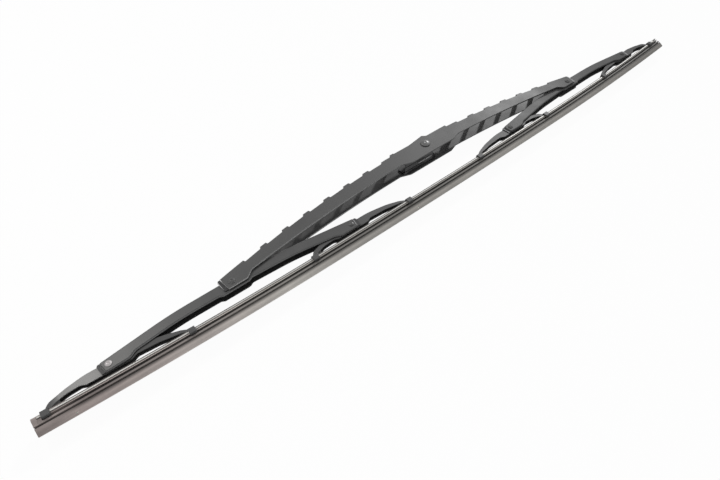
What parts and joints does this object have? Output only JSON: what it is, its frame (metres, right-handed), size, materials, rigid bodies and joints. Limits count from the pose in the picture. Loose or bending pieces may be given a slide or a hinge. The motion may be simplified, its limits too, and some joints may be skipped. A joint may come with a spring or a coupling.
{
  "type": "wiper blade",
  "caption": "Lever-type windscreen wiper blade: arched windowed steel bridge, rocking secondary levers and claw yokes, spring-backed wiping rubber and a swinging arm adapter.",
  "frame": {"origin": "on the centre pin's axis, at the blade's mid-plane", "axes": "+X along the blade, towards the end with the shorter run of windows; +Y from the wiping lip towards the arched back; +Z across the blade, up when it lies on its side"},
  "size_m": [0.651, 0.0573, 0.0172],
  "materials": {
    "painted_steel": "satin",
    "bright_steel": "polished",
    "spring_steel": "satin",
    "black_plastic": "matte",
    "grey_rubber": "matte"
  },
  "bodies": {
    "bridge": {"main_bridge": "painted_steel", "centre_pin": "bright_steel", "bridge_rivet_left": "painted_steel", "bridge_rivet_right": "painted_steel", "bridge_liner_left": "black_plastic", "bridge_liner_right": "black_plastic", "wiping_rubber": "grey_rubber", "backing_strip_near": "spring_steel", "backing_strip_far": "spring_steel"},
    "adapter": {"arm_adapter": "black_plastic"},
    "secondary_left": {"secondary_lever_left": "painted_steel", "yoke_rivet_outer_left": "bright_steel", "yoke_rivet_inner_left": "painted_steel", "yoke_liner_outer_left": "black_plastic", "yoke_liner_inner_left": "black_plastic"},
    "yoke_outer_left_body": {"yoke_outer_left": "painted_steel"},
    "yoke_inner_left_body": {"yoke_inner_left": "painted_steel"},
    "secondary_right": {"secondary_lever_right": "painted_steel", "yoke_rivet_outer_right": "painted_steel", "yoke_rivet_inner_right": "painted_steel", "yoke_liner_outer_right": "black_plastic", "yoke_liner_inner_right": "black_plastic"},
    "yoke_outer_right_body": {"yoke_outer_right": "painted_steel"},
    "yoke_inner_right_body": {"yoke_inner_right": "painted_steel"}
  },
  "joints": [
    {"name": "adapter_swing", "type": "hinge", "parent": "bridge", "child": "adapter", "pos_m": [0, 0, 0], "axis": [0, 0, 1], "range_deg": [-25, 10]},
    {"name": "secondary_rock_left", "type": "hinge", "parent": "bridge", "child": "secondary_left", "pos_m": [-0.1987, -0.0189, 0], "axis": [0, 0, 1], "range_deg": [-3, 6], "stiffness_Nm_per_rad": 0.8, "deforming": ["wiping_rubber", "backing_strip_near", "backing_strip_far"]},
    {"name": "yoke_rock_outer_left", "type": "hinge", "parent": "secondary_left", "child": "yoke_outer_left_body", "pos_m": [-0.2869, -0.02356, 0], "axis": [0, 0, 1], "range_deg": [-2.5, 7], "stiffness_Nm_per_rad": 0.3, "deforming": ["wiping_rubber", "backing_strip_near", "backing_strip_far"]},
    {"name": "yoke_rock_inner_left", "type": "hinge", "parent": "secondary_left", "child": "yoke_inner_left_body", "pos_m": [-0.1035, -0.02887, 0], "axis": [0, 0, 1], "range_deg": [-5, 5], "stiffness_Nm_per_rad": 0.3, "deforming": ["wiping_rubber", "backing_strip_near", "backing_strip_far"]},
    {"name": "secondary_rock_right", "type": "hinge", "parent": "bridge", "child": "secondary_right", "pos_m": [0.1729, -0.0189, 0], "axis": [0, 0, 1], "range_deg": [-6, 3], "stiffness_Nm_per_rad": 0.8, "deforming": ["wiping_rubber", "backing_strip_near", "backing_strip_far"]},
    {"name": "yoke_rock_outer_right", "type": "hinge", "parent": "secondary_right", "child": "yoke_outer_right_body", "pos_m": [0.2611, -0.02356, 0], "axis": [0, 0, 1], "range_deg": [-7, 2.5], "stiffness_Nm_per_rad": 0.3, "deforming": ["wiping_rubber", "backing_strip_near", "backing_strip_far"]},
    {"name": "yoke_rock_inner_right", "type": "hinge", "parent": "secondary_right", "child": "yoke_inner_right_body", "pos_m": [0.0777, -0.02887, 0], "axis": [0, 0, 1], "range_deg": [-5, 5], "stiffness_Nm_per_rad": 0.3, "deforming": ["wiping_rubber", "backing_strip_near", "backing_strip_far"]}
  ]
}
